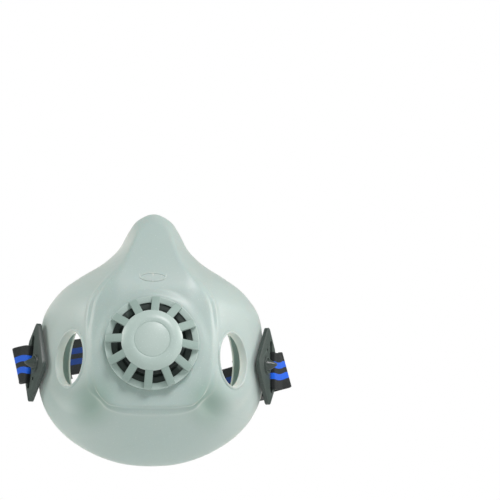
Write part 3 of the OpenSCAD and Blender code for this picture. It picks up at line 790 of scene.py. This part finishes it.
# ---------------------------------------------------------------- yoke studs
# A dark plastic stud through each cheek: a flat head inside the mask, a shank, and a pointed cone
# outside that the yoke is pressed over.
stud_shank = [(0, -4.85), (5.5, -4.85), (5.5, -3.45), (2.0, -3.45), (2.0, 3.6)]
stud_outline = (rounded(stud_shank, 0.35, 3, ends=False)
                + [(2.4, 3.62), (3.1, 3.66), (3.25, 3.85), (3.2, 4.1), (2.6, 5.3), (1.9, 6.7), (1.2, 8.0),
                   (0.7, 8.85), (0.4, 9.1), (0, 9.15)])
stud_paint = moulding("stud_plastic", (0.03, 0.042, 0.038), (0.042, 0.056, 0.05), (0.15, 0.19, 0.17), 0.36,
                      grain=(1300, 0.00003), dust=0.5)
for side in ("left", "right"):
    turn = joint[f"{side}_yoke_turn"]
    stud = lathe(f"stud_{side}", stud_outline, axis_frame(turn["pos_m"], turn["axis"]), 96)
    paint(stud, stud_paint)
    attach(stud, "root")
    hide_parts(f"yoke_stud_{side}")

# ---------------------------------------------------------------- elastic webbing
# Black woven elastic with two blue stripes. Each half is one length: a free tail, two layers through
# the adjuster, a fold round the yoke's bar, the run behind the head, and a sewn fold round the clasp.
WEB_W, WEB_T = 20.0, 1.4
RIB_PITCH, RIB_DEPTH = 1.15, 0.09
bar_inside, bar_outside = 9.2, 14.0
clasp_bar = (14.4, 17.0)
strap_corner = {"left": [(-72.5, 77, 0.5), (-27, 138, 19), (0, 138, 6.5)],
                "right": [(73.5, 77, -0.5), (27, 138, -6), (0, 138, 6.5)]}
web_low = 1.6
root_from = 23
slant = {"left": math.tan(math.radians(-8.4)), "right": math.tan(math.radians(11.5))}
lean_full, lean_until, lean_end, strap_lean = 10, 68, 88, math.radians(14)
rest_tilt = {"left": math.radians(13), "right": 0.0}
yoke_mid = 2.5
adjuster_run, tail_past = 30, 29
slanted_run, line_round = 10.5, 2.4
near, far, sewn = 0.85, 1.85, 0.68
fold_round = 1.25


def centre_line(side):
    """The strap's centre line in millimetres from the valve, from the stud to the clasp."""
    point, out = in_mm(joint[f"{side}_yoke_turn"]["pos_m"]), np.array(joint[f"{side}_yoke_turn"]["axis"])
    back = np.array((-out[1] * (1 if side == "right" else -1), abs(out[0]), 0))
    tilt = rest_tilt[side]
    lead = math.cos(tilt) * back + math.sin(tilt) * np.array((0, 0, 1))
    up = math.cos(tilt) * np.array((0, 0, 1)) - math.sin(tilt) * back
    start = point + yoke_mid * out - web_low * up
    turned_off = start + bar_outside * lead
    corners = [np.array(c, float) for c in strap_corner[side]]
    first = turned_off + slanted_run * (lead + slant[side] * up)
    fine = 700
    line, length = evenly(np.array([start, turned_off, first, *corners]), fine)
    return eased(line, length / (fine - 1), line_round), out


def web_frames(side):
    """Along the centre line: distance from the stud, place, direction across the web, and face outwards."""
    line, out = centre_line(side)
    run = np.concatenate([[0], np.cumsum(np.linalg.norm(np.diff(line, axis=0), axis=1))])
    ahead = np.gradient(line, axis=0)
    ahead /= np.linalg.norm(ahead, axis=1, keepdims=True)
    across = np.array((0, 0, 1)) - ahead[:, 2:] * ahead
    across /= np.linalg.norm(across, axis=1, keepdims=True)
    lean = -strap_lean * fade((run - root_from + 4) / lean_full) * (
        1 - fade((run - root_from - lean_until) / (lean_end - lean_until)))
    across = np.cos(lean)[:, None] * across + np.sin(lean)[:, None] * np.cross(ahead, across)
    face = np.cross(ahead, across) * (1 if side == "right" else -1)
    return run, line, ahead, across, face


def web_route(total, bend):
    """The webbing's way in (distance from the stud, offset outwards), from the tail to the sewn end."""
    turn = bar_inside - 0.85
    slot = total - clasp_bar[0] + 0.85
    beyond = total - clasp_bar[1] - 0.9
    corners = [(bend + adjuster_run + tail_past, -near), (37, -near), (23, -far), (turn, -far), (turn, far),
               (23, far), (37, near), (beyond - 4, near), (beyond, near + far), (slot, near + far),
               (slot, near - far), (beyond, near - far), (beyond - 3, -sewn), (beyond - 13, -sewn)]
    line = np.array(rounded([(*c, 0) for c in corners], fold_round, 6, ends=False))[:, :2]
    run = np.sum(np.linalg.norm(np.diff(line, axis=0), axis=1))
    return evenly(line, int(run / 0.2))


def web_section():
    """Round the webbing's edge: place across it, side of its middle, and share of the ribs."""
    half, thick = WEB_W / 2, WEB_T / 2
    face = [(x, thick * (1 - 0.1 * (abs(x) / half) ** 6), 1.0)
            for x in np.linspace(-half + 0.45, half - 0.45, 23)]
    turn = [(half - 0.12, thick * 0.62, 0.5), (half, 0, 0.2), (half - 0.12, -thick * 0.62, 0.5)]
    under = [(x, -y, r) for x, y, r in reversed(face)]
    return np.array(face + turn + under + [(-x, -y, r) for x, y, r in turn])


def webbing(side):
    """One half of the strap, with woven ribs as real relief. Its map runs along and across the cloth,
    and its attribute marks the face that lies towards the head, whose stripes get painted shade."""
    run, line, ahead, across, face = web_frames(side)
    bend = run[np.argmin(np.linalg.norm(line - np.array(strap_corner[side][0]), axis=1))]
    route, length = web_route(run[-1], bend)
    at, offset = route[:, 0], route[:, 1]

    def pick(values):
        return np.stack([np.interp(at, run, values[:, k]) for k in range(3)], axis=1)

    wide, outwards = pick(across), pick(face)
    middle = pick(line) + offset[:, None] * outwards
    tangent = np.gradient(middle, axis=0)
    tangent /= np.linalg.norm(tangent, axis=1, keepdims=True)
    normal = np.cross(tangent, wide)
    normal /= np.linalg.norm(normal, axis=1, keepdims=True)
    section = web_section()
    walked = np.linspace(0, length, len(at))
    wave = (0.5 + 0.5 * np.cos(2 * math.pi * walked / RIB_PITCH))[:, None]
    rib = 1 - RIB_DEPTH / WEB_T * 2 * wave * section[None, :, 2]
    rings = (middle[:, None] + section[None, :, :1] * wide[:, None]
             + (section[None, :, 1] * rib)[..., None] * normal[:, None])
    count, size = rings.shape[:2]
    points = (rings + (0, seat_depth, 0)) * mm
    at_index = np.arange(count * size).reshape(count, size)
    here, there = at_index[:-1], at_index[1:]
    quads = np.stack([here, there, np.roll(there, -1, axis=1), np.roll(here, -1, axis=1)],
                     axis=-1).reshape(-1, 4)
    mesh = bpy.data.meshes.new(f"webbing_{side}")
    mesh.from_pydata(points.reshape(-1, 3).tolist(), [],
                     quads.tolist() + [at_index[0].tolist(), at_index[-1][::-1].tolist()])
    cloth = mesh.uv_layers.new(name="cloth")
    vertex = np.zeros(len(mesh.loops), int)
    mesh.loops.foreach_get("vertex_index", vertex)
    flat = np.stack([section[vertex % size, 0] / WEB_W + 0.5, walked[vertex // size] / WEB_W], axis=1)
    cloth.data.foreach_set("uv", flat.astype(np.float32).ravel())
    # Marks the face towards the head, whose stripes the material darkens as painted shade.
    painted_shade_face = mesh.attributes.new("painted_shade_face", "FLOAT", "POINT")
    faced = np.sum(normal * outwards, axis=1)[:, None] * section[None, :, 1]
    painted_shade_face.data.foreach_set("value", (faced < 0).astype(np.float32).ravel())
    shape = bmesh.new()
    shape.from_mesh(mesh)
    bmesh.ops.recalc_face_normals(shape, faces=shape.faces)
    shape.to_mesh(mesh)
    shape.free()
    shade(mesh, 60)
    return new_object(f"webbing_{side}", mesh), length


def webbing_material():
    """Black yarn with two blue stripes, from the cloth's own map, with the weave's ribs and hairs, and painted
    shade on the stripes of the face towards the head.
    """
    made = bpy.data.materials.new("webbing")
    made.use_nodes = True
    tree = made.node_tree
    base = tree.nodes["Principled BSDF"]
    base.inputs["Sheen Weight"].default_value = 0.06
    base.inputs["Sheen Roughness"].default_value = 0.5
    base.inputs["Specular IOR Level"].default_value = 0.2
    cloth = add(tree, "ShaderNodeUVMap", uv_map="cloth")
    split = add(tree, "ShaderNodeSeparateXYZ", {"Vector": cloth.outputs[0]})
    ragged = add(tree, "ShaderNodeMapping", {"Vector": cloth.outputs[0]})
    ragged.inputs["Scale"].default_value = (6, 70, 1)
    shake = add(tree, "ShaderNodeTexNoise", {"Vector": ragged.outputs[0]}, Scale=1.0, Detail=2.0)
    nudge = add(tree, "ShaderNodeMath", {0: shake.outputs["Fac"]}, operation="MULTIPLY_ADD")
    nudge.inputs[1].default_value = 0.02
    nudge.inputs[2].default_value = -0.01
    across = add(tree, "ShaderNodeMath", {0: split.outputs["X"], 1: nudge.outputs[0]}, operation="ADD")
    bands = []
    for middle in (0.345, 0.655):
        away = add(tree, "ShaderNodeMath", {0: across.outputs[0]}, operation="SUBTRACT")
        away.inputs[1].default_value = middle
        size = add(tree, "ShaderNodeMath", {0: away.outputs[0]}, operation="ABSOLUTE")
        band = add(tree, "ShaderNodeMapRange", {"Value": size.outputs[0]}, From_Min=0.086, From_Max=0.08)
        bands.append(band.outputs[0])
    stripes = add(tree, "ShaderNodeMath", {0: bands[0], 1: bands[1]}, operation="MAXIMUM").outputs[0]
    fine = add(tree, "ShaderNodeMapping", {"Vector": cloth.outputs[0]})
    fine.inputs["Scale"].default_value = (44, 44, 1)
    yarn = add(tree, "ShaderNodeTexWave", {"Vector": fine.outputs[0]}, wave_type="BANDS",
               bands_direction="X", Scale=0.5, Distortion=1.2, Detail=1.0)
    fleck = add(tree, "ShaderNodeTexNoise", {"Vector": cloth.outputs[0]}, Scale=60.0, Detail=3.0)
    black = blend_colours(tree, fleck.outputs["Fac"], (0.004, 0.005, 0.006, 1), (0.016, 0.02, 0.02, 1))
    blue = blend_colours(tree, fleck.outputs["Fac"], (0.004, 0.075, 0.55, 1), (0.012, 0.15, 0.85, 1))
    # Painted shade: the blue stripes are darker on the face towards the head, which lies in the mask's shadow.
    painted_shade_side = add(tree, "ShaderNodeAttribute", attribute_name="painted_shade_face").outputs["Fac"]
    blue = blend_colours(tree, painted_shade_side, blue, (0.004, 0.03, 0.16, 1))
    colour = blend_colours(tree, stripes, black, blue)
    tree.links.new(colour, base.inputs["Base Color"])
    dull = add(tree, "ShaderNodeMapRange", {"Value": fleck.outputs["Fac"]}, To_Min=0.62, To_Max=0.85)
    tree.links.new(dull.outputs[0], base.inputs["Roughness"])
    relief = add(tree, "ShaderNodeMath", {0: yarn.outputs["Fac"], 1: fleck.outputs["Fac"]}, operation="ADD")
    bump = add(tree, "ShaderNodeBump", {"Height": relief.outputs[0]}, Strength=0.5, Distance=0.0001)
    tree.links.new(bump.outputs[0], base.inputs["Normal"])
    return made


web_cloth = webbing_material()
web_length = {}
for side in ("left", "right"):
    web, web_length[side] = webbing(side)
    paint(web, web_cloth)
    frames = web_frames(side)
    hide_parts(f"strap_end_{side}", f"strap_{side}", f"strap_return_{side}")
    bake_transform(web)

# ---------------------------------------------------------------- adjusters and clasp
# Black moulded strap hardware: two three-bar slides that grip both layers, and a clasp whose hooked
# half drops through a window in the other half behind the head.
buckle_paint = moulding("buckle_plastic", (0.012, 0.014, 0.015), (0.02, 0.023, 0.024), (0.09, 0.1, 0.1),
                        0.34, grain=(1500, 0.00003), dust=0.5)
hardware = {"strap_adjuster_left": "left_adjuster", "strap_adjuster_right": "right_adjuster",
            "clasp_loop": "root", "clasp_hook": "root"}
for node, body in hardware.items():
    piece = softened(f"{node}_moulding", node, 0.3 * mm)
    paint(piece, buckle_paint)
    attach(piece, body)
    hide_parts(node)
